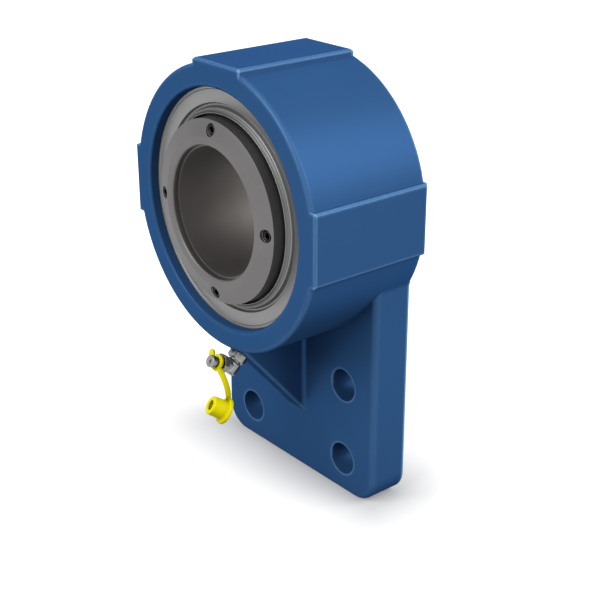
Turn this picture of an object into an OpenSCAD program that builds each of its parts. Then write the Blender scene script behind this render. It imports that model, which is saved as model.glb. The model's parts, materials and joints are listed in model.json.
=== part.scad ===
// Flanged roller bearing unit for a shaft: a cast housing with a flange plate and a rib, a
// double-row barrel roller bearing, and a stepped sleeve that grips the shaft when the four
// screws of its collar are tightened.
// The origin is the middle of the bearing. The shaft runs along Y, the front is at -Y, and the
// machined mounting face is at +Y. Z is up, and all sizes are in millimetres.

/* [Shaft and sleeve] */
// Diameter of the shaft
shaft_d = 65; // [64:0.25:65.5]
// Wall of the sleeve in front of its steps
sleeve_wall = 2.1; // [2:0.05:2.3]
// Rise of each step of the sleeve
step_rise = 0.6; // [0.3:0.1:0.7]
// Number of steps along the sleeve
step_count = 5; // [3:1:7]
// Width of the slit along the sleeve
slit_w = 2.5; // [1.5:0.5:4]

/* [Bearing] */
// Distance from the shaft's surface out to the spherical raceway
raceway_rise = 21; // [20.8:0.1:21.5]
// Wall of the outer ring at its middle
outer_wall = 6.5; // [6:0.1:7]
// Width of the rings
bearing_w = 31; // [30.6:0.2:32]
// Largest diameter of a roller
roller_d = 13; // [12.6:0.1:13.1]
// Distance along the shaft from a roller's outer end to the ring's side
row_margin = 1.7; // [1.6:0.1:2]
// Distance along the shaft between the inner ends of the two rows
row_gap = 5; // [4.8:0.1:5.3]
// Rollers in each row
rollers_per_row = 17; // [12:1:17]
// Gap between a roller and each raceway
roller_gap = 0.1; // [0.08:0.01:0.14]
// Gap round a roller in its cage
pocket_gap = 0.2; // [0.15:0.05:0.3]
// Thickness of the cage's wall
cage_wall = 1.6; // [1.2:0.1:1.8]
// Height of the inner ring's shoulders over its raceways
shoulder_h = 1.3; // [1.1:0.1:1.4]
// Radial height of the loose guide ring
guide_h = 4.3; // [3.6:0.1:4.5]

/* [Housing] */
// Wall of the round body over the bearing
body_wall = 12; // [11:0.5:15]
// Length of the round body
body_len = 70; // [68:1:74]
// Radius of the body's rims
rim_round = 2; // [1:0.25:3]
// Width of each flat pad
pad_w = 36; // [24:1:44]
// Height of a pad over the round body
pad_rise = 0.6; // [0.3:0.1:3]
// Chamfer round a pad
pad_edge = 1; // [0.5:0.25:1.5]
// Step from the bearing's seat out to the recess of a seal disc
recess_step = 0.5; // [0.4:0.1:1.25]
// Rounding at the mouth of the bore
mouth_round = 1.2; // [0.5:0.1:2]

/* [Flange plate] */
// Thickness of the plate
plate_t = 22; // [18:1:24]
// Corner radius of the plate
plate_corner = 14; // [8:1:18]
// Rounding of the plate's front edge
plate_round = 3; // [1:0.5:4]
// Fillet where the plate's side meets the body
side_fillet = 6; // [4:1:9]
// Diameter of the bolt holes
bolt_hole_d = 17.5; // [13:0.5:19]
// Bolt spacing across the plate
bolt_dx = 77; // [66:1:84]
// Bolt spacing up the plate
bolt_dz = 43.5; // [36:0.5:46]
// Distance from the round body down to the upper bolts
bolt_below = 23; // [20:1:26]
// Distance from the bolts out to the plate's sides
bolt_side = 23.5; // [21.5:0.5:26.5]
// Distance from the lower bolts down to the plate's edge
bolt_foot = 19.5; // [16:0.5:30]

/* [Rib] */
// Thickness of the rib
rib_t = 14; // [13:1:20]
// Distance from the round body down to the rib's foot
rib_height = 50.5; // [46:0.5:58]
// Distance that the rib's tip stays behind the housing's front
rib_setback = 4.6; // [3:0.2:8]
// Chamfer along the rib's face
rib_edge = 1; // [0.5:0.25:1.5]
// Fillet between the rib and the plate
rib_fillet = 2.5; // [1:0.5:4]

/* [Seals] */
// Thickness of the pressed seal disc
disc_t = 1.2; // [0.8:0.1:1.4]
// Distance of the disc's flat behind the housing's face
disc_depth = 5.7; // [5:0.1:6.5]
// Width of the disc's flat, from the recess in to its groove
disc_rim = 8.4; // [8:0.1:9]
// Clearance of the disc's inner edge round the collar
disc_gap = 1.4; // [1.2:0.1:1.8]
// Distance of the disc's inner edge in front of its flat
disc_lip_rise = 2.2; // [1.5:0.1:2.6]
// Clearance of the rubber lip on the collar
lip_gap = 0.05; // [0.03:0.01:0.1]

/* [Collar] */
// Wall of the collar round the shaft
collar_wall = 13.5; // [13:0.25:13.75]
// Distance of the collar's flat face in front of the housing's face
collar_stand = 4.6; // [4:0.2:8]
// Gap between the collar and the thrust ring
collar_gap = 2.5; // [2:0.1:3]
// Axial height of the cone round the collar's face
cone_h = 2.3; // [1:0.1:3]
// Width of the cone round the collar's face
cone_w = 8.3; // [8:0.1:9]
// Distance of the sleeve's end behind the collar's face
sleeve_set = 3.6; // [2.5:0.1:5]
// Radius of the rounding into the collar's bore
collar_round = 1.3; // [0.5:0.1:1.6]
// Diameter of the grub screws
screw_d = 6; // [5:0.5:6]
// Distance from a screw's axis out to the collar's side
screw_edge = 4.4; // [4.2:0.1:4.7]
// Depth of a screw's end below the collar's face
screw_sink = 1.6; // [1.2:0.1:2.5]
// Hexagon socket of the screws, across flats
socket_af = 3; // [2.5:0.5:3]
// Thickness of the thrust ring
thrust_t = 6.5; // [6:0.5:7]

/* [Grease fitting] */
// Where the grease drilling meets the bore, along the shaft
drill_y = -1.3; // [-1.5:0.1:0]
// Diameter of the grease drilling
drill_d = 4; // [3:0.5:4]
// Hexagon of the adapter, across flats
adapter_af = 10; // [9:0.5:11]
// Height of the adapter's hexagon
adapter_h = 4.5; // [4:0.5:6]
// Thread diameter of the adapter
adapter_thread = 8; // [6:0.5:8]
// Distance of the elbow's corner above the rib
elbow_h = 8; // [7.5:0.25:10]
// Bend of the elbow, in degrees
elbow_angle = 67.5; // [60:0.5:75]
// Radius of the elbow's corner
elbow_r = 4.9; // [4.5:0.1:5]
// Length of the elbow's arm
arm_len = 5.2; // [5:0.1:6]
// Hexagon of the nipple, across flats
nipple_af = 9; // [8:0.5:9.5]
// Height of the nipple's hexagon
nipple_hex_h = 2.8; // [2.5:0.1:3.2]
// Diameter of the nipple's neck
neck_d = 4.6; // [4.4:0.1:4.8]
// Length of the nipple's neck
neck_len = 3.6; // [3.4:0.1:4]
// Diameter of the nipple's head
head_d = 6.5; // [6:0.1:6.8]
// Length of the nipple's head
head_len = 3.3; // [3:0.1:3.6]
// Diameter of the nipple's check ball
ball_d = 2.2; // [2:0.1:2.3]

/* [Grease cap] */
// Distance of the cap's ring behind the nipple's end
ring_back = 5.1; // [4.9:0.1:5.3]
// Thickness of the cap's ring along the neck
ring_t = 2; // [1.6:0.1:2.4]
// Width of the cap's ring round the neck
ring_w = 2.15; // [1.8:0.05:2.6]
// Reach of the pull tab from the ring's middle
tab_reach = 8; // [7:0.5:9]
// Width of the pull tab
tab_w = 2.9; // [2.4:0.1:3.6]
// Upward angle of the pull tab, in degrees
tab_angle = 26; // [10:1:40]
// Width of the strap
strap_w = 3.2; // [2.8:0.1:3.2]
// Thickness of the strap
strap_t = 1.2; // [0.9:0.1:1.5]
// Distance of the cup to the right of the elbow's corner
cup_right = 8; // [7:0.5:9]
// Distance of the cup in front of the elbow's corner
cup_front = 9.4; // [9:0.2:10]
// Distance of the cup below the elbow's corner
cup_below = 19.5; // [19:0.5:21]
// Wall of the cup
cup_wall = 1.7; // [1.2:0.1:1.9]
// Length of the cup over its flange
cup_len = 9.3; // [8.5:0.1:10]
// Diameter of the cup's flange
cup_flange_d = 14.3; // [13:0.1:15]
// Thickness of the cup's flange
cup_flange_t = 3; // [2:0.1:3.5]

/* [Hidden] */
$fn = 96;
hull_fn = 32;
cut = 1;
press_gap = 0.02;
slide_gap = 0.1;
thread_gap = 0.05;
FRONT = -1;
REAR = 1;
SIDES = ["front", "rear"];

// Radii, from the shaft outwards
shaft_r = shaft_d / 2;
sleeve_r = shaft_r + sleeve_wall;
step_top_r = sleeve_r + step_rise;
collar_r = shaft_r + collar_wall;
face_r = collar_r - cone_w;
screw_r = collar_r - screw_edge;
raceway_r = shaft_r + raceway_rise;
seat_r = raceway_r + outer_wall;
recess_r = seat_r + recess_step;
body_r = seat_r + body_wall;
pad_reach = body_r + pad_rise;
disc_lip_r = collar_r + disc_gap;
groove_r = recess_r - disc_rim;

// Places along the shaft
sleeve_back_set = 1.8;
seal_ring_set = 4.5;
ring_y = bearing_w / 2;
front_y = -body_len / 2;
back_y = body_len / 2;
plate_y = back_y - plate_t;
thrust_front_y = -ring_y - thrust_t;
collar_face_y = front_y - collar_stand;
collar_back_y = thrust_front_y - collar_gap;
sleeve_front_y = collar_face_y + sleeve_set;
sleeve_back_y = back_y - sleeve_back_set;
seal_ring_back_y = back_y - seal_ring_set;
screw_y = collar_face_y + screw_sink;
screw_len = thrust_front_y - screw_y;
flat_y = front_y + disc_depth;

// Flange plate
plate_w = bolt_dx + 2 * bolt_side;
bolt_drop = body_r + bolt_below;
plate_drop = bolt_drop + bolt_dz + bolt_foot;

// Rollers: their middle lies on the contact line, and their axis is square to it
roller_r = roller_d / 2;
centre_dist = raceway_r - roller_gap - roller_r;
row_y = (ring_y - row_margin + row_gap / 2) / 2;
contact_angle = asin(row_y / centre_dist);
pitch_r = centre_dist * cos(contact_angle);
roller_len = (ring_y - row_margin - row_gap / 2) / cos(contact_angle);
barrel_ease = 1.5;
barrel_r = raceway_r - barrel_ease;
roller_step = 360 / rollers_per_row;
roller_chamfer = 0.4;
dimple_d = 5;
dimple_depth = 0.4;

// Guide ring and inner ring
shoulder_r = pitch_r - (roller_r + roller_gap) * cos(contact_angle) + shoulder_h;
guide_r0 = shoulder_r + slide_gap;
guide_r1 = guide_r0 + guide_h;
end_play = slide_gap + 0.05;
turned_edge = 0.6;
collar_ease = 0.9;
boss_len = 1.5;
boss_inset = 0.4;
boss_r = shoulder_r - boss_inset;

// Grooves for spring rings
ring_groove_depth = 2;
retainer_t = 2.9;
retainer_h = 4.4;
retainer_open = 12;
lug_inset = 10;
lug_r = 3;
lug_hole_d = 2.5;
sleeve_groove_depth = 0.7;
sleeve_ring_t = 1.5;
sleeve_ring_h = 1.6;
sleeve_ring_open = 8;
collar_ring_y = (collar_back_y + sleeve_front_y) / 2;
rear_ring_y = seal_ring_back_y + slide_gap;

// Seal disc and its rubber lip
disc_rim_lift = 0.9;
disc_rim_flat = 1.2;
disc_rim_slope = 0.8;
disc_groove_w = 2.25;
disc_groove_depth = 1.6;
disc_groove_slope = 0.35;
disc_back = 0.75 * disc_t;
lip_t = 1.9;
lip_web_t = 1.6;
lip_tip_t = 0.9;
lip_web_w = 0.85;
lip_lean = 0.7;

// Grease groove of the outer ring
oil_groove_w = 6;
oil_groove_depth = 1.5;
oil_hole_d = 3.2;
oil_hole_count = 3;

// Rib face: it runs from its foot on the plate to its tip under the body
rib_foot = body_r + rib_height;
rib_tip_y = front_y + rib_setback;
rib_slope = atan2(rib_foot - body_r, plate_y - rib_tip_y);
rib_out = [0, -sin(rib_slope), -cos(rib_slope)];
rib_dist = rib_out * [0, plate_y, -rib_foot];
drill_end = [0, drill_y, -seat_r];
seat_dist = rib_dist - rib_out * drill_end;
fitting_seat = drill_end + seat_dist * rib_out;
fitting_tilt = 180 - rib_slope;

// Grease passage and nipple
passage_d = 3;
adapter_neck = 1;
arm_d = 1.7 * elbow_r;
elbow_foot = adapter_h + adapter_neck + press_gap;
neck_start = arm_len + nipple_hex_h;
head_start = neck_start + neck_len;
head_end = head_start + head_len;
valve_d = ball_d + 0.2;
mouth_d = ball_d - 0.8;
seat_start = head_start + 1;
ball_at = seat_start + valve_d / 2 - (ball_d / 2 + 0.02) * sqrt(2);
valve_end = arm_len - 1.2;
stub_start = 1.6;
stub_d = 6;
wire_d = 0.35;
spring_turns = 5;
spring_steps = 14;
spring_sides = 6;

// Cap: its ring turns on the nipple's neck, and its cup hangs below the elbow
ring_at = head_end - ring_back;
cup_turn = [57.8, 0, -21.5];
cup_bore_d = head_d + 0.1;
cup_bottom = 1.4;
strap_leave = 35;
strap_meet = 118;
strap_bend = 84;
strap_ring_r = neck_d / 2 + slide_gap + ring_w / 2;
strap_inset = 1.5;
strap_foot_r = cup_flange_d / 2 - strap_inset;

function unit(v) = v / norm(v);
function turn_x(v, a) = [v.x, v.y * cos(a) - v.z * sin(a), v.y * sin(a) + v.z * cos(a)];
function turn_z(v, a) = [v.x * cos(a) - v.y * sin(a), v.x * sin(a) + v.y * cos(a), v.z];

// Direction and point on the nipple's axis, at a distance from the elbow's corner
nipple_tilt = fitting_tilt - elbow_angle;
nipple_out = turn_x([0, 0, 1], nipple_tilt);
elbow_corner = fitting_seat + elbow_h * rib_out;
function nipple_point(s) = elbow_corner + s * nipple_out;

// Place of the cup, and the two ends of the strap
cup_place = elbow_corner + [cup_right, -cup_front, -cup_below];
strap_out = turn_x([cos(strap_leave), -sin(strap_leave), 0], nipple_tilt);
strap_in = turn_z(turn_x([cos(strap_meet), sin(strap_meet), 0], cup_turn.x), cup_turn.z);
strap_start = nipple_point(ring_at) + strap_ring_r * strap_out;
strap_end = cup_place + strap_foot_r * strap_in;

// Radius of a roller at its end face
function end_r() = roller_r - barrel_r + sqrt(barrel_r ^ 2 - (roller_len / 2) ^ 2);

// Distance from the bearing's middle to a roller's inner end face, at a radius from the shaft's axis
function end_face_y(r) = row_y - roller_len / 2 * cos(contact_angle)
    + (r - pitch_r - roller_len / 2 * sin(contact_angle)) * tan(contact_angle);

// Radius of the sleeve at the bottom of its groove at y
function sleeve_groove_r(y) = (y > 0 ? step_top_r : sleeve_r) - sleeve_groove_depth;

// Saw-tooth outline, widest at the rear of each step. It is the sleeve's outside, and grown
// and shifted a little, the inner ring's bore
function steps(grow, shift) = [
    for (i = [0:step_count - 1]) for (end = [0, 1])
        [sleeve_r + end * step_rise + grow, -ring_y + (i + end) * bearing_w / step_count + shift]
];

// Turns an outline round the shaft's axis: x is the radius, y the place along the shaft
module turned() {
    rotate([-90, 0, 0]) rotate_extrude() children();
}

// Puts a front piece where it is, and its twin at the rear as a mirror image
module on_side(side) {
    mirror([0, side == REAR ? 1 : 0, 0]) children();
}

// Cutter that rounds a corner of an outline. The vector out points away from the material
module corner_cut(at, r, out) {
    translate(at - r * out) difference() {
        translate([out.x > 0 ? 0 : -r - cut, out.y > 0 ? 0 : -r - cut]) square(r + cut);
        circle(r);
    }
}

// Half outline of a ring between two radii and two places, with its outer corners chamfered
module ring_outline(r0, r1, y0, y1, edge) {
    polygon([[r0, y0], [r1 - edge, y0], [r1, y0 + edge], [r1, y1 - edge], [r1 - edge, y1], [r0, y1]]);
}

module on_fitting() {
    translate(fitting_seat) rotate([fitting_tilt, 0, 0]) children();
}

module on_nipple() {
    translate(elbow_corner) rotate([nipple_tilt, 0, 0]) children();
}

// Hexagon prism with the given size across flats
module hexagon(af, h) {
    cylinder(d = af / cos(30), h = h, $fn = 6);
}

// Housing

module body_bar() {
    turned() difference() {
        translate([0, front_y]) square([body_r, body_len]);
        corner_cut([body_r, front_y], rim_round, [1, -1]);
        corner_cut([body_r, back_y], rim_round / 2, [1, 1]);
    }
}

// Cross-section of a pad: a flat with chamfered edges, above the middle of the body's wall
module pad_section(width) {
    half = width / 2;
    top = pad_reach;
    low = (body_r + seat_r) / 2;
    polygon([
        [-half, low], [half, low], [half, top - pad_edge], [half - pad_edge, top],
        [pad_edge - half, top], [-half, top - pad_edge]
    ]);
}

module pad(angle) {
    rotate([0, angle, 0]) intersection() {
        rotate([90, 0, 0]) linear_extrude(body_len, center = true) pad_section(pad_w);
        rotate([90, 0, 90]) linear_extrude(pad_w, center = true) pad_section(body_len);
    }
}

// Outline of the plate seen from the front, drawn inside its edge by the given inset
module plate_outline(inset = 0) {
    half = plate_w / 2 - inset;
    low = inset - plate_drop;
    r = plate_corner - inset;
    translate([-half, low + r]) square([2 * half, -low - r]);
    translate([r - half, low]) square([2 * (half - r), -low]);
    for (s = [-1, 1]) translate([s * (half - r), low + r]) circle(r);
}

// Plate of a thickness t whose front is at y. Its outline is drawn as seen from the front
module slab(y, t) {
    translate([0, y + t, 0]) rotate([90, 0, 0]) linear_extrude(t) children();
}

// The plate's front rim is rounded in four steps
module plate_rim() {
    slice = 0.01;
    hull() for (a = [0:22.5:90]) {
        slab(plate_y + plate_round * (1 - cos(a)), slice)
            plate_outline(plate_round * (1 - sin(a)), $fn = hull_fn);
    }
}

// Fillet in the notch between the plate's side and the round body
module side_notch_fillet() {
    x = plate_w / 2 + side_fillet;
    z = -sqrt((body_r + side_fillet) ^ 2 - x ^ 2);
    touch = body_r / (body_r + side_fillet) * [x, z];
    difference() {
        polygon([[plate_w / 2 - cut, z], [plate_w / 2, z], touch, touch * (body_r - cut) / body_r]);
        translate([x, z]) circle(side_fillet);
    }
}

module flange_plate() {
    plate_rim();
    slab(plate_y + plate_round, plate_t - plate_round) plate_outline();
    for (s = [0, 1]) mirror([s, 0, 0]) {
        slab(plate_y + plate_round, plate_t - plate_round) side_notch_fillet();
    }
}

// Side view of the rib. It runs into the plate and into the body
module rib_section() {
    into = 4;
    slope = tan(rib_slope);
    top = -body_r + into;
    polygon([
        [plate_y + into, -rib_foot - into * slope], [plate_y + into, top],
        [rib_tip_y - into / slope, top]
    ]);
}

module rib_slab(width) {
    rotate([90, 0, 90]) linear_extrude(width, center = true) rib_section();
}

// Concave fillet in four flats, in the corner at the origin between +x and +y
module fillet_section(r) {
    arc = [for (a = [0:22.5:90]) r * [1 - sin(a), 1 - cos(a)]];
    polygon(concat([[-cut, -cut], [r, -cut]], arc, [[-cut, r]]));
}

module rib() {
    difference() {
        rib_slab(rib_t);
        for (s = [-1, 1]) on_fitting() translate([s * rib_t / 2, 0, 0]) rotate([0, 45, 0]) {
            cube([rib_edge * sqrt(2), 4 * body_r, rib_edge * sqrt(2)], center = true);
        }
    }
    intersection() {
        rib_slab(rib_t + 2 * rib_fillet);
        for (s = [0, 1]) mirror([s, 0, 0]) translate([rib_t / 2, plate_y, -rib_foot]) {
            linear_extrude(rib_foot - body_r + rib_fillet) mirror([0, 1]) fillet_section(rib_fillet);
        }
    }
}

// The bore from the front face to the middle, drawn as the outline of what is cut away
module bore_outline() {
    shelf_y = front_y + disc_depth + disc_t;
    groove_y = -ring_y - retainer_t - slide_gap;
    difference() {
        union() {
            translate([0, front_y - cut]) square([recess_r + mouth_round, cut + mouth_round]);
            translate([0, front_y]) square([recess_r, shelf_y - front_y]);
            translate([0, front_y]) square([seat_r, -front_y + cut]);
            translate([0, groove_y]) square([seat_r + ring_groove_depth, -ring_y - groove_y]);
        }
        translate([recess_r + mouth_round, front_y + mouth_round]) circle(mouth_round);
    }
}

module bolt_holes() {
    for (x = [-1, 1], z = [0, 1]) {
        translate([x * bolt_dx / 2, plate_y - cut, -bolt_drop - z * bolt_dz]) rotate([-90, 0, 0]) {
            cylinder(d = bolt_hole_d, h = plate_t + 2 * cut);
        }
    }
}

module grease_drilling() {
    on_fitting() {
        translate([0, 0, -seat_dist - drill_d]) cylinder(d = drill_d, h = seat_dist + 2 * drill_d);
        translate([0, 0, -adapter_thread - cut]) {
            cylinder(d = adapter_thread + 2 * thread_gap, h = adapter_thread + 2 * cut);
        }
    }
}

module housing() {
    color("#2f5f9c") difference() {
        union() {
            body_bar();
            for (angle = [-90, 0, 90]) pad(angle);
            flange_plate();
            rib();
        }
        for (side = [FRONT, REAR]) on_side(side) turned() bore_outline();
        bolt_holes();
        grease_drilling();
    }
}

// Bearing

module outer_ring() {
    edge = 1.2;
    r = seat_r - press_gap;
    color("#b9bcc0") difference() {
        turned() difference() {
            ring_outline(raceway_r / 2, r, -ring_y, ring_y, edge);
            circle(raceway_r);
            translate([r - oil_groove_depth, -oil_groove_w / 2]) {
                square([oil_groove_depth + cut, oil_groove_w]);
            }
        }
        for (i = [0:oil_hole_count - 1]) rotate([0, 180 + i * 360 / oil_hole_count, 0]) {
            translate([0, 0, raceway_r - cut]) cylinder(d = oil_hole_d, h = seat_r - raceway_r + 2 * cut);
        }
    }
}

// Open ring with a lug and a plier hole at each end, sprung into a groove of the housing
module retaining_ring(side) {
    r1 = seat_r + ring_groove_depth - slide_gap;
    r0 = r1 - retainer_h;
    color("#4a4d52") on_side(side) slab(-ring_y - retainer_t, retainer_t) difference() {
        union() {
            difference() {
                circle(r1);
                circle(r0);
            }
            for (s = [-1, 1]) rotate(s * retainer_open) translate([0, r0 + 0.5]) circle(lug_r, $fn = 48);
        }
        for (s = [-1, 1]) rotate(s * retainer_open) translate([0, r0]) circle(d = lug_hole_d, $fn = 48);
        polygon([[0, 0], [r1 * tan(lug_inset), r1 + cut], [-r1 * tan(lug_inset), r1 + cut]]);
    }
}

// Outline of a roller about its own axis, grown by a gap when it serves as a pocket
module roller_outline(grow = 0) {
    half = roller_len / 2 + grow;
    intersection() {
        translate([0, -half]) square([roller_r + grow, 2 * half]);
        translate([roller_r - barrel_r, 0]) circle(barrel_r + grow, $fn = 4 * $fn);
    }
}

// Puts something that stands on the origin onto the axis of a roller
module on_roller(side, i) {
    stagger = side == REAR ? 0.5 : 0;
    rotate([0, (i + stagger) * roller_step, 0]) translate([pitch_r, side * row_y, 0]) {
        rotate([0, 0, side * contact_angle]) rotate([-90, 0, 0]) children();
    }
}

module roller(side, i) {
    half = roller_len / 2;
    dimple_r = dimple_d / 2;
    color("#cfd2d6") on_roller(side, i) rotate_extrude($fn = 48) difference() {
        roller_outline();
        for (s = [-1, 1]) translate([0, s * half]) {
            polygon([
                [-cut, -dimple_depth], [dimple_r - dimple_depth, -dimple_depth], [dimple_r, 0],
                [dimple_r - dimple_depth, dimple_depth], [-cut, dimple_depth]
            ]);
            translate([end_r(), 0]) rotate(45) square(roller_chamfer * sqrt(2), center = true);
        }
    }
}

// Raceway of one row in the inner ring: an arc, ended by the shoulder beside the roller's end
module inner_raceway(side) {
    arc_r = raceway_r;
    mirror([0, side == FRONT ? 1 : 0]) difference() {
        rotate(contact_angle) translate([centre_dist - roller_r - roller_gap + arc_r, 0]) {
            circle(arc_r, $fn = 8 * $fn);
        }
        rotate(contact_angle) translate([0, roller_len / 2 + pocket_gap]) square([2 * arc_r, arc_r]);
        translate([0, -2 * arc_r]) square([4 * arc_r, 2 * arc_r]);
    }
}

module inner_ring() {
    edge = 0.6;
    grow = 0.06;
    shift = 0.1;
    color("#b9bcc0") turned() difference() {
        ring_outline(shaft_r, shoulder_r, -ring_y, ring_y, edge);
        for (side = [FRONT, REAR]) inner_raceway(side);
        polygon(concat(
            [[0, -ring_y - cut], [sleeve_r + grow, -ring_y - cut]],
            steps(grow, shift),
            [[step_top_r + grow, ring_y + cut], [0, ring_y + cut]]
        ));
    }
}

// Loose ring on the inner ring, between the inner ends of the two rows
module guide_ring() {
    y0 = end_face_y(guide_r0) - end_play;
    y1 = end_face_y(guide_r1) - end_play;
    color("#a9adb2") turned() polygon([[guide_r0, -y0], [guide_r1, -y1], [guide_r1, y1], [guide_r0, y0]]);
}

// Cage of one row: a conical wall through the rollers' axes, a rim that rides on the guide
// ring, a rim folded in at the outer end, and a window for each roller
module cage_outline() {
    wall = cage_wall / 2;
    rim_in = 4 * slide_gap;
    rim_out = ring_y - 2 * slide_gap;
    rim_t = 0.7 * cage_wall;
    bore_in = guide_r1 + slide_gap;
    bore_out = shoulder_r + wall / 2;
    inner_y = end_face_y(bore_in) - pocket_gap - end_play + slide_gap;
    function wall_r(y, out) = pitch_r - (y - row_y) * tan(contact_angle) + out * wall;
    polygon([
        [bore_in, rim_in], [wall_r(rim_in, 1), rim_in], [wall_r(rim_out, 1), rim_out],
        [bore_out, rim_out], [bore_out, rim_out - rim_t], [wall_r(rim_out - rim_t, -1), rim_out - rim_t],
        [wall_r(inner_y, -1), inner_y], [bore_in, inner_y]
    ]);
}

module cage(side) {
    color("#9c9a94") difference() {
        mirror([0, side == FRONT ? 1 : 0, 0]) turned() cage_outline();
        for (i = [1:rollers_per_row]) on_roller(side, i) rotate_extrude($fn = 48) roller_outline(pocket_gap);
    }
}

// Seals

// Pressed steel disc, drawn along its front and back along its rear
module seal_disc(side) {
    r1 = recess_r - press_gap;
    slope_r = r1 - disc_rim_flat - disc_rim_slope;
    groove_in = groove_r - disc_groove_w;
    groove_y = flat_y + disc_groove_depth;
    lip_y = flat_y - disc_lip_rise;
    color("#b4b6b8") on_side(side) turned() polygon([
        [r1, flat_y - disc_rim_lift], [r1 - disc_rim_flat, flat_y - disc_rim_lift], [slope_r, flat_y],
        [groove_r, flat_y], [groove_r - disc_groove_slope, groove_y],
        [groove_in + disc_groove_slope, groove_y], [groove_in, flat_y], [disc_lip_r, lip_y],
        [disc_lip_r, lip_y + disc_t], [groove_in - disc_back, flat_y + disc_back],
        [groove_in - disc_groove_slope, groove_y + disc_back],
        [groove_r + disc_groove_slope, groove_y + disc_back], [groove_r + disc_back, flat_y + disc_t],
        [r1, flat_y + disc_t]
    ]);
}

// Rubber ring bonded behind the disc's groove, with a lip that runs on the collar
module seal_lip(side) {
    base_y = flat_y + disc_groove_depth + disc_back;
    base_r = groove_r - disc_groove_w - disc_groove_slope;
    web_r = base_r - lip_web_w;
    tip_r = collar_r + lip_gap;
    tip_y = base_y - 2 * lip_tip_t;
    color("#1c1c1e") on_side(side) turned() polygon([
        [groove_r, base_y], [base_r, base_y], [web_r, base_y - lip_lean], [tip_r, tip_y],
        [tip_r, tip_y + lip_tip_t], [web_r, base_y - lip_lean + lip_web_t], [base_r, base_y + lip_t],
        [groove_r, base_y + lip_t]
    ]);
}

// Sleeve, collar and the rings on the sleeve

module sleeve_groove(y) {
    translate([sleeve_groove_r(y), y - slide_gap]) {
        square([2 * step_rise + sleeve_wall, sleeve_ring_t + 2 * slide_gap]);
    }
}

module stepped_sleeve() {
    edge = 0.3;
    color("#8f8a83") difference() {
        turned() difference() {
            polygon(concat(
                [[shaft_r, sleeve_front_y], [sleeve_r - edge, sleeve_front_y]],
                [[sleeve_r, sleeve_front_y + edge]],
                steps(0, 0),
                [[step_top_r, sleeve_back_y - edge]],
                [[step_top_r - edge, sleeve_back_y], [shaft_r, sleeve_back_y]]
            ));
            for (y = [collar_ring_y, rear_ring_y]) sleeve_groove(y);
        }
        translate([shaft_r - cut, sleeve_front_y - cut, -slit_w / 2]) {
            cube([2 * sleeve_wall + 2 * cut, sleeve_back_y - sleeve_front_y + 2 * cut, slit_w]);
        }
    }
}

// Spring ring in the sleeve's groove at y. Its outside is given by its height
module sleeve_spring_ring(y) {
    r0 = sleeve_groove_r(y) + press_gap;
    color("#4a4d52") rotate([0, 90, 0]) difference() {
        turned() ring_outline(r0, r0 + sleeve_ring_h, y, y + sleeve_ring_t, 0.2);
        translate([0, y + sleeve_ring_t / 2, -r0]) {
            cube([sleeve_ring_open, sleeve_ring_t + cut, r0], center = true);
        }
    }
}

// Ring between the screws and the inner ring, which it meets with a narrower boss
module thrust_ring() {
    r0 = sleeve_r + press_gap;
    boss_y = -ring_y - boss_len;
    color("#8d9095") turned() union() {
        ring_outline(r0, collar_r - 2 * slide_gap, thrust_front_y, boss_y, turned_edge);
        translate([r0, boss_y - cut]) square([boss_r - r0, boss_len + cut]);
    }
}

// Half outline of the collar. Its lip hooks over the sleeve's front end
module collar_outline() {
    lip_in = shaft_r + collar_ease;
    cone_y = collar_face_y + cone_h;
    shelf_y = sleeve_front_y - press_gap;
    bore = sleeve_r + press_gap;
    difference() {
        polygon([
            [lip_in, collar_face_y], [face_r, collar_face_y], [collar_r, cone_y],
            [collar_r, collar_back_y - turned_edge], [collar_r - turned_edge, collar_back_y],
            [bore, collar_back_y], [bore, shelf_y], [lip_in, shelf_y]
        ]);
        corner_cut([lip_in, collar_face_y], collar_round, [-1, -1]);
        translate([bore - cut, collar_ring_y - slide_gap]) {
            square([cut + sleeve_ring_h - sleeve_groove_depth + slide_gap, sleeve_ring_t + 2 * slide_gap]);
        }
    }
}

// Repeats something on the four screw axes, with +z pointing out of the collar's face
module on_screws() {
    for (a = [0:90:270]) rotate([0, a, 0]) translate([0, screw_y, screw_r]) rotate([90, 0, 0]) children();
}

module mounting_collar() {
    mouth = 0.8;
    color("#77736d") difference() {
        turned() collar_outline();
        on_screws() {
            translate([0, 0, -screw_len - cut]) {
                cylinder(d = screw_d + 2 * thread_gap, h = screw_len + screw_sink + 2 * cut);
            }
            cylinder(d = screw_d + mouth, h = screw_sink + cut);
        }
    }
}

module grub_screws() {
    socket_depth = 3.5;
    point = 1;
    lead = 0.6;
    lead_in = 0.4;
    color("#2b2b2d") on_screws() difference() {
        union() {
            translate([0, 0, -screw_len]) cylinder(d1 = screw_d - 2 * point, d2 = screw_d, h = point);
            translate([0, 0, point - screw_len]) cylinder(d = screw_d, h = screw_len - point);
        }
        translate([0, 0, -socket_depth]) hexagon(socket_af, socket_depth + cut);
        translate([0, 0, -lead_in]) cylinder(d1 = socket_af, d2 = socket_af + 2 * lead, h = lead);
    }
}

// Ring on the sleeve behind the bearing, which the rear lip runs on
module rear_seal_ring() {
    r0 = step_top_r + press_gap;
    color("#77736d") turned() union() {
        ring_outline(r0, collar_r, ring_y + boss_len, seal_ring_back_y, turned_edge);
        translate([r0, ring_y]) square([boss_r - r0, boss_len + cut]);
    }
}

// Grease fitting

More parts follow.
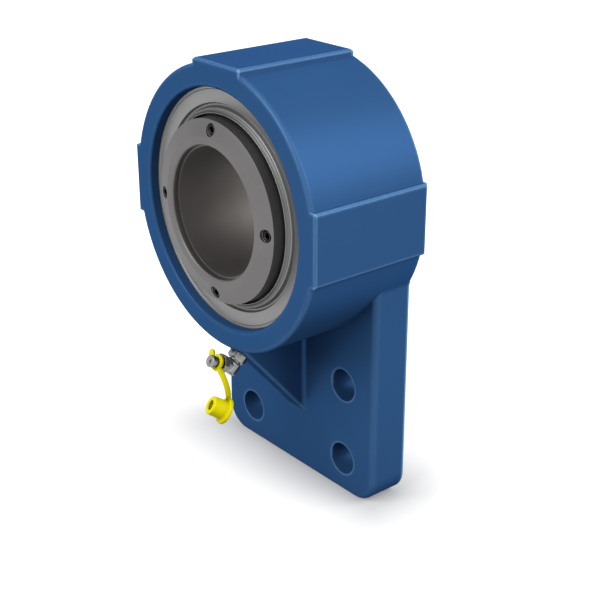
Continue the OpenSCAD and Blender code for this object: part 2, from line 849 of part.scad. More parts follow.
// Adapter screwed into the rib, with the lower edge of its hexagon chamfered
module grease_adapter() {
    chamfer = 1;
    corner_d = adapter_af / cos(30) - chamfer;
    color("#8b8c8e") on_fitting() difference() {
        union() {
            translate([0, 0, -adapter_thread]) cylinder(d = adapter_thread, h = adapter_thread);
            intersection() {
                hexagon(adapter_af, adapter_h);
                cylinder(d1 = corner_d, d2 = corner_d + 2 * adapter_h, h = adapter_h);
            }
            cylinder(d = 1.3 * elbow_r, h = adapter_h + adapter_neck);
        }
        translate([0, 0, -adapter_thread - cut]) cylinder(d = passage_d, h = 4 * adapter_thread);
    }
}

// Elbow: two arms that meet in a ball, drilled from both ends
module grease_elbow() {
    end_flat = 0.995;
    color("#8b8c8e") difference() {
        union() {
            on_fitting() translate([0, 0, elbow_foot]) cylinder(d = arm_d, h = elbow_h - elbow_foot);
            on_nipple() {
                cylinder(d = arm_d, h = arm_len);
                rotate_extrude() intersection() {
                    circle(elbow_r);
                    translate([0, -end_flat * elbow_r]) square([elbow_r, 2 * end_flat * elbow_r]);
                }
            }
        }
        on_fitting() {
            translate([0, 0, elbow_foot - elbow_r]) {
                cylinder(d = passage_d, h = elbow_r + elbow_h - elbow_foot + passage_d / 2);
            }
            translate([0, 0, elbow_foot - 2 * elbow_r]) cylinder(r = 2 * elbow_r, h = 2 * elbow_r);
        }
        on_nipple() {
            cylinder(d = 0.8 * passage_d, h = arm_len + cut);
            translate([0, 0, stub_start]) cylinder(d = stub_d + 2 * thread_gap, h = arm_len);
        }
    }
}

module grease_nipple() {
    head_r = head_d / 2;
    neck_r = neck_d / 2;
    mouth_cone = 0.6;
    color("#9a9b9d") on_nipple() difference() {
        union() {
            translate([0, 0, stub_start + slide_gap]) cylinder(d = stub_d, h = arm_len - stub_start);
            translate([0, 0, arm_len + press_gap]) intersection() {
                hexagon(nipple_af, nipple_hex_h - press_gap);
                cylinder(d1 = 2 * nipple_af, d2 = nipple_af / cos(30) - 0.8, h = nipple_hex_h);
            }
            rotate_extrude() polygon([
                [0, arm_len], [neck_r, arm_len], [neck_r, head_start], [head_r, head_start + head_r - neck_r],
                [head_r, head_end - 0.5], [head_r - 0.5, head_end], [0, head_end]
            ]);
        }
        rotate_extrude() polygon([
            [0, stub_start], [passage_d / 4, stub_start], [passage_d / 4, valve_end],
            [valve_d / 2, valve_end], [valve_d / 2, seat_start],
            [mouth_d / 2, seat_start + (valve_d - mouth_d) / 2],
            [mouth_d / 2, head_end - mouth_cone], [mouth_d / 2 + mouth_cone, head_end], [0, head_end + cut]
        ]);
    }
}

module nipple_ball() {
    color("#d8dadc") translate(nipple_point(ball_at)) sphere(d = ball_d, $fn = 48);
}

// Coil spring behind the ball, swept along its helix with flat coils at both ends
module nipple_spring() {
    start = valve_end + wire_d / 2 + press_gap;
    travel = ball_at - ball_d / 2 - wire_d / 2 - press_gap - start;
    coil_r = ball_d / 2 - wire_d / 2 - 0.1;
    steps = spring_turns * spring_steps;
    rings = [for (k = [0:steps]) let (a = 360 * k / spring_steps) [
        for (j = [0:spring_sides - 1]) let (b = 360 * j / spring_sides, r = coil_r + wire_d / 2 * cos(b))
            [r * cos(a), r * sin(a), start + travel * k / steps + wire_d / 2 * sin(b)]
    ]];
    last = steps * spring_sides;
    sides = [for (k = [0:steps - 1]) for (j = [0:spring_sides - 1]) let (n = (j + 1) % spring_sides)
        [k * spring_sides + j, k * spring_sides + n, (k + 1) * spring_sides + n, (k + 1) * spring_sides + j]];
    color("#a9adb2") on_nipple() polyhedron(
        points = [for (ring = rings) each ring],
        faces = concat(
            sides,
            [[for (j = [spring_sides - 1:-1:0]) j], [for (j = [0:spring_sides - 1]) last + j]]
        )
    );
}

// Cap: a ring round the nipple's neck, a pull tab, a strap and a cup

// The strap bends in one arc, bowed the way it leaves the ring
module strap() {
    chord = strap_end - strap_start;
    along = unit(chord);
    leave = strap_start - nipple_point(ring_at);
    bow = unit(leave - (leave * along) * along);
    r = norm(chord) / (2 * sin(strap_bend / 2));
    centre = (strap_start + strap_end) / 2 - bow * r * cos(strap_bend / 2);
    ex = unit(strap_start - centre);
    ez = cross(bow, along);
    ey = cross(ez, ex);
    multmatrix([
        [ex.x, ey.x, ez.x, centre.x], [ex.y, ey.y, ez.y, centre.y], [ex.z, ey.z, ez.z, centre.z], [0, 0, 0, 1]
    ]) rotate_extrude(angle = strap_bend) translate([r, 0]) square([strap_t, strap_w], center = true);
}

module grease_cap() {
    r0 = neck_d / 2 + slide_gap;
    cup_d = cup_bore_d + 2 * cup_wall;
    color("#f2c81e") difference() {
        union() {
            on_nipple() translate([0, 0, ring_at - ring_t / 2]) {
                cylinder(r = r0 + ring_w, h = ring_t);
                rotate([0, 0, 180 - tab_angle]) translate([0, -tab_w / 2, 0]) {
                    cube([tab_reach - tab_w / 2, tab_w, ring_t]);
                    translate([tab_reach - tab_w / 2, tab_w / 2, 0]) cylinder(d = tab_w, h = ring_t);
                }
            }
            strap();
            translate(cup_place) rotate(cup_turn) {
                translate([0, 0, -cup_flange_t / 2]) cylinder(d = cup_flange_d, h = cup_flange_t);
                cylinder(d = cup_d, h = cup_len);
            }
        }
        on_nipple() translate([0, 0, ring_at - tab_reach]) cylinder(r = r0, h = 2 * tab_reach);
        translate(cup_place) rotate(cup_turn) translate([0, 0, cup_bottom]) {
            cylinder(d = cup_bore_d, h = cup_len);
        }
    }
}

housing();
outer_ring();
retaining_ring(FRONT);  // front_retaining_ring
retaining_ring(REAR);  // rear_retaining_ring
seal_disc(FRONT);  // front_seal_disc
seal_disc(REAR);  // rear_seal_disc
seal_lip(FRONT);  // front_seal_lip
seal_lip(REAR);  // rear_seal_lip
inner_ring();
guide_ring();
cage(FRONT);  // front_cage
cage(REAR);  // rear_cage
stepped_sleeve();
thrust_ring();
mounting_collar();
grub_screws();
sleeve_spring_ring(collar_ring_y);  // collar_retaining_ring
rear_seal_ring();
sleeve_spring_ring(rear_ring_y);  // rear_sleeve_ring
grease_adapter();
grease_elbow();
grease_nipple();
nipple_ball();
nipple_spring();
grease_cap();
for (i = [1:rollers_per_row]) {
    roller(FRONT, i);
    roller(REAR, i);
}
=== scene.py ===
"""Looks of the flanged roller bearing unit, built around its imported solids.

The machined and cast pieces keep their solids and get their finishes here. The pressed seal discs,
the grub screws, the grease adapter and elbow, the nipple's spring and the moulded grease cap are
modelled anew, because their rolled rims, threads, coils and soft edges are finer than the solids carry.
"""

import json
import logging
import math
from dataclasses import dataclass, field
from enum import Enum
from typing import Callable

import bmesh
import bpy
from mathutils import Matrix, Vector

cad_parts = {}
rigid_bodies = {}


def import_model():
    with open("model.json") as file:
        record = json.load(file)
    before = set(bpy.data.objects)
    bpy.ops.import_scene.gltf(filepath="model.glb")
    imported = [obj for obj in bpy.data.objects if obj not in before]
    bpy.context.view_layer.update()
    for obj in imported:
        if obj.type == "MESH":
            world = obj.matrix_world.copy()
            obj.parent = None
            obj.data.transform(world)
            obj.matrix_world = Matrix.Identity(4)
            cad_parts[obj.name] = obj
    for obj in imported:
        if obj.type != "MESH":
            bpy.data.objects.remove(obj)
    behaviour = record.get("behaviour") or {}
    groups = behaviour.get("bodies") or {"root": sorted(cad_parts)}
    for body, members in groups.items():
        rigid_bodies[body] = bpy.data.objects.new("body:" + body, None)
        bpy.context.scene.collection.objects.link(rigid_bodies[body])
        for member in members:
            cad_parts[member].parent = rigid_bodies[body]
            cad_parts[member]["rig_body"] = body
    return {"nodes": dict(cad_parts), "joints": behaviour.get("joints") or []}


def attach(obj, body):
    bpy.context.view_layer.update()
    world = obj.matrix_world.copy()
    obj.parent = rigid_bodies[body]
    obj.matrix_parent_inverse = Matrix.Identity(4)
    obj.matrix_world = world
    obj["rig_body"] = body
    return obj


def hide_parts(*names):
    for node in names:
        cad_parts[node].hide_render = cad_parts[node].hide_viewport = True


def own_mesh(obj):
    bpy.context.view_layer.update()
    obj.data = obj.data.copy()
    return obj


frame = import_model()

MM = 0.001

# Lumps in one metre of the slow patterns on the surfaces.
PAINT_CLOUDS = 18.0
OIL_PATCHES = 60.0
STAINS = 140.0
EDGE_CHIPS = 420.0

# Rays for each shading point, and the height that a bump of full strength stands for.
WALL_SAMPLES = 8
BEVEL_SAMPLES = 6
BUMP_HEIGHT = 0.1 * MM

# Meshes: how close points are one, in millimetres, the steps of a coil's turn, the bend from which an edge is
# sharp, and half the angle of a hexagon's side.
WELD = 0.001
TURN_STEPS = 24
SHARP_FROM = math.radians(32)
HALF_SIDE = math.pi / 6

LOG = logging.getLogger("bearing_unit")

Socket = bpy.types.NodeSocket
Colour = tuple[float, float, float]


# Nodes


class Graph:
    """A shader node tree that is being built."""

    def __init__(self, tree: bpy.types.NodeTree) -> None:
        """Keep the empty node tree to build in."""
        self.tree = tree

    def add(self, kind: str, inputs: dict | None = None, **settings: object) -> bpy.types.Node:
        """Add one node.

        Args:
            kind: the node's type, without the ShaderNode prefix.
            inputs: a value or a socket to link, for each input by its name or number.
            settings: the node's own properties.

        Returns:
            The new node.
        """
        made = self.tree.nodes.new("ShaderNode" + kind)
        for key, value in settings.items():
            setattr(made, key, value)
        for key, value in (inputs or {}).items():
            if isinstance(value, Socket):
                self.tree.links.new(value, made.inputs[key])
            else:
                made.inputs[key].default_value = value
        return made

    def math(self, operation: str, a: Socket | float, b: Socket | float = 0.0, clamp: bool = False) -> Socket:
        """Do one sum.

        Args:
            operation: the name of the sum, as the Math node spells it.
            a: the first value.
            b: the second value.
            clamp: whether the result is kept between 0 and 1.

        Returns:
            The result.
        """
        return self.add("Math", {0: a, 1: b}, operation=operation, use_clamp=clamp).outputs[0]

    def remap(self, value: Socket, low: Socket | float, high: Socket | float) -> Socket:
        """Stretch a value that runs from 0 to 1, so that it runs from low to high."""
        return self.add("MapRange", {"Value": value, "To Min": low, "To Max": high}).outputs["Result"]

    def mix(self, share: Socket | float, a: Socket | tuple, b: Socket | tuple) -> Socket:
        """Mix two colours: a where share is 0, b where it is 1."""
        made = self.add("Mix", data_type="RGBA")
        colours = [s for s in made.inputs if s.type == "RGBA"]
        for socket, value in zip([made.inputs[0], *colours], [share, a, b]):
            if isinstance(value, Socket):
                self.tree.links.new(value, socket)
            else:
                socket.default_value = value if isinstance(value, float) else (*value, 1.0)[:4]
        return next(s for s in made.outputs if s.type == "RGBA")

    def noise(self, place: Socket, scale: Socket | float, detail: float = 2.0, rough: float = 0.5) -> Socket:
        """Read a noise, from 0 to 1, at a place.

        Args:
            place: the point, in metres.
            scale: lumps in one metre.
            detail: how many finer layers are added.
            rough: how strong the finer layers are.

        Returns:
            The noise's value.
        """
        settings = {"Vector": place, "Scale": scale, "Detail": detail, "Roughness": rough}
        return self.add("TexNoise", settings).outputs[0]


class Effect:
    """A shader node group that several finishes use. It is built when it is first asked for."""

    made: dict[str, bpy.types.NodeTree] = {}

    @classmethod
    def place(cls, graph: Graph, name: str, build: Callable[[Graph, dict], dict], inputs: dict) -> dict[str, Socket]:
        """Put an effect into a material.

        Args:
            graph: the material's graph.
            name: the effect's name.
            build: makes the effect's nodes from its inputs, and returns its outputs by name.
            inputs: the effect's named values in this material.

        Returns:
            The effect's outputs by name.
        """
        if name not in cls.made:
            cls.made[name] = cls._group(name, build, inputs)
        used = graph.tree.nodes.new("ShaderNodeGroup")
        used.node_tree = cls.made[name]
        for key, value in inputs.items():
            used.inputs[key].default_value = value
        return {socket.name: socket for socket in used.outputs}

    @staticmethod
    def _group(name: str, build: Callable[[Graph, dict], dict], inputs: dict) -> bpy.types.NodeTree:
        """Build the group's own tree. Its arguments are those of place.

        Returns:
            The group's tree.
        """
        tree = bpy.data.node_groups.new(name, "ShaderNodeTree")
        for key in inputs:
            tree.interface.new_socket(name=key, in_out="INPUT", socket_type="NodeSocketFloat")
        source = tree.nodes.new("NodeGroupInput")
        outputs = build(Graph(tree), {key: source.outputs[key] for key in inputs})
        for key in outputs:
            tree.interface.new_socket(name=key, in_out="OUTPUT", socket_type="NodeSocketFloat")
        sink = tree.nodes.new("NodeGroupOutput")
        for key, socket in outputs.items():
            tree.links.new(socket, sink.inputs[key])
        return tree


def shaft_radius(graph: Graph, place: Socket) -> Socket:
    """The distance of a place from the shaft's axis."""
    flat = graph.add("VectorMath", {0: place, 1: (1.0, 0.0, 1.0)}, operation="MULTIPLY").outputs[0]
    return graph.add("VectorMath", {0: flat}, operation="LENGTH").outputs["Value"]


def turned_marks(graph: Graph, inputs: dict[str, Socket]) -> dict[str, Socket]:
    """Rings that a lathe tool leaves around the shaft's axis, on faces and on cylinders alike.

    Args:
        graph: the group's graph.
        inputs: Rings, the number of rings in one metre.

    Returns:
        Marks, the height of the rings, and Patch, slow changes along them.
    """
    place = graph.add("TexCoord").outputs["Object"]
    height = graph.add("SeparateXYZ", {0: place}).outputs["Y"]
    along = graph.add("CombineXYZ", {0: shaft_radius(graph, place), 1: height}).outputs[0]
    return {"Marks": graph.noise(along, inputs["Rings"], 4.0, 0.6), "Patch": graph.noise(place, OIL_PATCHES)}


def paint_skin(graph: Graph, inputs: dict[str, Socket]) -> dict[str, Socket]:
    """The skin of enamel over a casting: fine orange peel over the slow waves of the cast wall.

    Args:
        graph: the group's graph.
        inputs: Peel, lumps of the orange peel in one metre, and Waves, those of the casting.

    Returns:
        Height for the bump, and Cloud, a slow change of the colour.
    """
    place = graph.add("TexCoord").outputs["Object"]
    peel = graph.noise(place, inputs["Peel"], 2.0, 0.45)
    waves = graph.noise(place, inputs["Waves"], 2.0, 0.4)
    wave_share = 0.6
    height = graph.math("ADD", graph.math("MULTIPLY", waves, wave_share), graph.math("MULTIPLY", peel, 1 - wave_share))
    return {"Height": height, "Cloud": graph.noise(place, PAINT_CLOUDS, 3.0)}


def fine_grain(graph: Graph, inputs: dict[str, Socket]) -> dict[str, Socket]:
    """An even grain without direction, as on rolled sheet, plating, rubber and mouldings.

    Args:
        graph: the group's graph.
        inputs: Grains, the number of grains in one metre.

    Returns:
        Grain, the height of the grain, and Stain, slow changes across the surface.
    """
    place = graph.add("TexCoord").outputs["Object"]
    return {"Grain": graph.noise(place, inputs["Grains"], 3.0, 0.6), "Stain": graph.noise(place, STAINS, 3.0, 0.55)}


def edge_wear_and_highlight(graph: Graph, inputs: dict[str, Socket]) -> dict[str, Socket]:
    """A mask along the edges that face away from the shaft's axis, broken up by noise: where things rub, and where a
    painted highlight lines the rounded edges.

    Args:
        graph: the group's graph.
        inputs: Width, how far below the surface the metal has to end for a place to count as an edge, in metres.

    Returns:
        Mask, 1 on an edge, its chamfer included, and 0 away from it.
    """
    solid = graph.add("AmbientOcclusion", {"Distance": inputs["Width"]}, samples=WALL_SAMPLES, inside=True,
                      only_local=True)
    coords = graph.add("TexCoord").outputs
    flat_wall, steepness = 0.97, 3.5
    thin = graph.math("SUBTRACT", flat_wall, solid.outputs["AO"])
    edge = graph.math("MULTIPLY", thin, steepness, clamp=True)
    away = graph.add("VectorMath", {0: coords["Object"], 1: (1.0, 0.0, 1.0)}, operation="MULTIPLY").outputs[0]
    away = graph.add("VectorMath", {0: away}, operation="NORMALIZE").outputs[0]
    out = graph.add("VectorMath", {0: away, 1: coords["Normal"]}, operation="DOT_PRODUCT").outputs["Value"]
    inward_limit, rise, least = 0.1, 4.0, 0.55
    outer = graph.math("MULTIPLY", graph.math("ADD", out, inward_limit), rise, clamp=True)
    broken = graph.remap(graph.noise(coords["Object"], EDGE_CHIPS, 3.0, 0.6), least, 1.0)
    return {"Mask": graph.math("MULTIPLY", graph.math("MULTIPLY", edge, outer), broken, clamp=True)}


def painted_crevice_shade(graph: Graph, inputs: dict[str, Socket]) -> dict[str, Socket]:
    """How open a place is: low in corners, holes and grooves, where the finishes darken it as painted shade.

    Args:
        graph: the group's graph.
        inputs: Reach, how far other walls of the same piece count, in metres.

    Returns:
        Open, 1 on a free surface and less in a crevice.
    """
    walls = graph.add("AmbientOcclusion", {"Distance": inputs["Reach"]}, samples=WALL_SAMPLES, only_local=True)
    darkest, lightest = -0.15, 1.08
    return {"Open": graph.remap(walls.outputs["AO"], darkest, lightest)}


def ring_band(graph: Graph, inputs: dict[str, Socket]) -> dict[str, Socket]:
    """A band round the shaft's axis between two radii, with soft edges.

    Args:
        graph: the group's graph.
        inputs: Middle, the radius of the band's middle, and Half, half its width, in metres.

    Returns:
        Band, 1 in the band and 0 outside it.
    """
    radius = shaft_radius(graph, graph.add("TexCoord").outputs["Object"])
    off = graph.math("ABSOLUTE", graph.math("SUBTRACT", radius, inputs["Middle"]))
    soft_end, steepness = 1.3, 2.5
    inside = graph.math("SUBTRACT", soft_end, graph.math("DIVIDE", off, inputs["Half"]))
    return {"Band": graph.math("MULTIPLY", inside, steepness, clamp=True)}


# Finishes


@dataclass(frozen=True)
class Finish:
    """A finish of the unit: its colour, its gloss, its wear and painted highlight along edges, and its painted crevice
    shade.
    """

    name: str
    colour: Colour
    # The colour along edges stands for worn metal and also for a painted highlight on the rounded edges.
    edge_wear_and_highlight_colour: Colour
    roughness: float
    metallic: float = 1.0
    edge_width: float = 0.3 * MM
    rounding: float = 0.3 * MM
    edge_wear_and_highlight_strength: float = 0.5
    bump: float = 0.1
    specular: float = 0.5
    specular_tint: Colour = (1.0, 1.0, 1.0)
    # How far the painted crevice shade reaches, and how dark it gets.
    crevice_shade_reach: float = 2.5 * MM
    crevice_shade_depth: float = 0.45
    gloss_range: tuple[float, float] = (-0.05, 0.08)

    def material(self) -> bpy.types.Material:
        """Build the finish as a material and return it."""
        made = bpy.data.materials.new(self.name)
        made.use_nodes = True
        made.node_tree.nodes.clear()
        graph = Graph(made.node_tree)
        shader = graph.add("BsdfPrincipled", {
            "Metallic": self.metallic,
            "Specular IOR Level": self.specular,
            "Specular Tint": (*self.specular_tint, 1.0),
        })
        height, shade, gloss = self.surface(graph)
        # Edges take a lighter colour: partly wear, partly a painted highlight on the rounded edges.
        edge = Effect.place(graph, "edge wear and highlight", edge_wear_and_highlight, {"Width": self.edge_width})["Mask"]
        rubbed_and_lit = graph.math("MULTIPLY", edge, self.edge_wear_and_highlight_strength)
        link = made.node_tree.links.new
        # Darkening where the piece's own walls are near: painted shade in corners, holes and grooves.
        free = Effect.place(graph, "painted_crevice_shade", painted_crevice_shade, {"Reach": self.crevice_shade_reach})["Open"]
        dark = tuple(c * (1 - self.crevice_shade_depth) for c in self.colour)
        crevice_shaded = graph.mix(free, dark, shade)
        link(graph.mix(rubbed_and_lit, crevice_shaded, self.edge_wear_and_highlight_colour), shader.inputs["Base Color"])
        link(gloss, shader.inputs["Roughness"])
        rounded = graph.add("Bevel", {"Radius": self.rounding}, samples=BEVEL_SAMPLES).outputs[0]
        relief = {"Height": height, "Normal": rounded, "Strength": self.bump, "Distance": BUMP_HEIGHT}
        link(graph.add("Bump", relief).outputs[0], shader.inputs["Normal"])
        graph.add("OutputMaterial", {"Surface": shader.outputs[0]})
        return made

    def surface(self, graph: Graph) -> tuple[Socket, Socket, Socket]:
        """Add what makes this kind of finish look like itself.

        Args:
            graph: the material's graph.

        Returns:
            The height of its bump, its colour and its roughness.
        """
        raise NotImplementedError

    def shades(self, spread: float) -> tuple[Colour, Colour]:
        """The colour made darker and lighter by a share."""
        dark = tuple(c * (1 - spread) for c in self.colour)
        light = tuple(min(1.0, c * (1 + spread)) for c in self.colour)
        return dark, light

    def gloss(self, graph: Graph, pattern: Socket) -> Socket:
        """The roughness, which follows a pattern within the gloss range."""
        low, high = self.gloss_range
        return graph.remap(pattern, self.roughness + low, self.roughness + high)


@dataclass(frozen=True)
class Enamel(Finish):
    """Sprayed enamel on a casting."""

    gloss_range: tuple[float, float] = (-0.05, 0.07)
    peel: float = 900.0
    waves: float = 120.0
    cloud: float = 0.08

    def surface(self, graph: Graph) -> tuple[Socket, Socket, Socket]:
        """Orange peel over a slightly wavy casting. See Finish.surface."""
        skin = Effect.place(graph, "paint skin", paint_skin, {"Peel": self.peel, "Waves": self.waves})
        shade = graph.mix(skin["Cloud"], *self.shades(self.cloud))
        return skin["Height"], shade, self.gloss(graph, skin["Cloud"])


@dataclass(frozen=True)
class TurnedSteel(Finish):
    """Steel turned or ground around the shaft's axis."""

    gloss_range: tuple[float, float] = (-0.08, 0.12)
    rings: float = 2500.0
    spread: float = 0.25
    ring_share: float = 0.6

    def surface(self, graph: Graph) -> tuple[Socket, Socket, Socket]:
        """Rings of the tool, and slow changes of the oil film. See Finish.surface."""
        marks = Effect.place(graph, "turned marks", turned_marks, {"Rings": self.rings})
        rings = graph.math("MULTIPLY", marks["Marks"], self.ring_share)
        patches = graph.math("MULTIPLY", marks["Patch"], 1 - self.ring_share)
        shade = graph.mix(graph.math("ADD", rings, patches), *self.shades(self.spread))
        return marks["Marks"], shade, self.gloss(graph, marks["Marks"])


@dataclass(frozen=True)
class PressedSteel(TurnedSteel):
    """Sheet steel pressed into a seal's disc. A band of painted shade darkens the cone inside its ridge."""

    band_middle: float = 48.6 * MM
    band_half: float = 0.75 * MM
    painted_shade_share: float = 0.62
    painted_shade_tone: float = 0.3

    def surface(self, graph: Graph) -> tuple[Socket, Socket, Socket]:
        """Turned marks, with the band of painted shade over them. See Finish.surface."""
        height, shade, gloss = super().surface(graph)
        # The band's darker colour is painted shade of the ridge.
        sizes = {"Middle": self.band_middle, "Half": self.band_half}
        band = graph.math("MULTIPLY", Effect.place(graph, "ring band", ring_band, sizes)["Band"], self.painted_shade_share)
        dark = tuple(c * self.painted_shade_tone for c in self.colour)
        return height, graph.mix(band, shade, dark), gloss


@dataclass(frozen=True)
class Grained(Finish):
    """A finish with an even grain: plating, black oxide, rolled sheet, rubber or moulded plastic."""

    grains: float = 3000.0
    spread: float = 0.12

    def surface(self, graph: Graph) -> tuple[Socket, Socket, Socket]:
        """Grain, with slow stains over it. See Finish.surface."""
        grain = Effect.place(graph, "fine grain", fine_grain, {"Grains": self.grains})
        shade = graph.mix(grain["Stain"], *self.shades(self.spread))
        return grain["Grain"], shade, self.gloss(graph, grain["Stain"])


class Coat(Enum):
    """The unit's finishes, one for each material slot of the record."""

    # The paint's light blue along its edges is a painted highlight.
    BLUE_PAINT = Enamel("blue_paint", (0.03, 0.087, 0.212), (0.25, 0.5, 0.82), 0.37, metallic=0.24,
                        edge_width=1.6 * MM, rounding=0.9 * MM, edge_wear_and_highlight_strength=0.75, bump=0.22, specular=0.0,
                        specular_tint=(0.1, 0.35, 0.8), crevice_shade_reach=4 * MM, crevice_shade_depth=0.3)
    PRESSED_STEEL = PressedSteel("pressed_steel", (0.22, 0.22, 0.218), (0.5, 0.5, 0.5), 0.5, rings=1600.0, spread=0.15)
    TURNED_STEEL = TurnedSteel("turned_steel", (0.133, 0.127, 0.127), (0.24, 0.235, 0.23), 0.5, crevice_shade_depth=0.25)
    SLEEVE_STEEL = TurnedSteel("sleeve_steel", (0.14, 0.131, 0.125), (0.22, 0.21, 0.2), 0.56, rings=1800.0)
    BEARING_STEEL = TurnedSteel("bearing_steel", (0.55, 0.56, 0.58), (0.8, 0.8, 0.8), 0.22, rings=5000.0, spread=0.08)
    GUIDE_STEEL = TurnedSteel("guide_steel", (0.45, 0.46, 0.48), (0.7, 0.7, 0.7), 0.28, rings=4000.0, spread=0.1)
    CAGE_STEEL = Grained("cage_steel", (0.36, 0.35, 0.33), (0.6, 0.6, 0.58), 0.4, spread=0.18)
    ROLLER_STEEL = Grained("roller_steel", (0.68, 0.69, 0.71), (0.85, 0.85, 0.85), 0.12, bump=0.03, spread=0.05)
    SPRING_STEEL = Grained("spring_steel", (0.1, 0.105, 0.115), (0.3, 0.3, 0.32), 0.45)
    BLACK_STEEL = Grained("black_steel", (0.02, 0.02, 0.023), (0.12, 0.12, 0.13), 0.4)
    PLATED_STEEL = Grained("plated_steel", (0.27, 0.27, 0.268), (0.6, 0.6, 0.6), 0.33, grains=1800.0, spread=0.25)
    SEAL_RUBBER = Grained("seal_rubber", (0.012, 0.012, 0.013), (0.04, 0.04, 0.04), 0.6, metallic=0.0)
    # The cup's deep crevice darkening paints the shade of its seams.
    YELLOW_PLASTIC = Grained("yellow_plastic", (0.8, 0.72, 0.002), (0.95, 0.88, 0.1), 0.42, metallic=0.0,
                             specular=0.08, spread=0.06, crevice_shade_reach=4 * MM, crevice_shade_depth=0.85)


class Paintbox:
    """Keeps one material for each finish."""

    def __init__(self) -> None:
        """Start empty."""
        self.made: dict[Coat, bpy.types.Material] = {}

    def get(self, coat: Coat) -> bpy.types.Material:
        """Return the finish's material, which is built once."""
        if coat not in self.made:
            self.made[coat] = coat.value.material()
        return self.made[coat]

    def dress(self, piece: bpy.types.Object, coat: Coat) -> None:
        """Give a piece its finish, in place of whatever it has."""
        if not piece.material_slots:
            piece.data.materials.append(None)
        for used in piece.material_slots:
            used.material = self.get(coat)


# Shapes


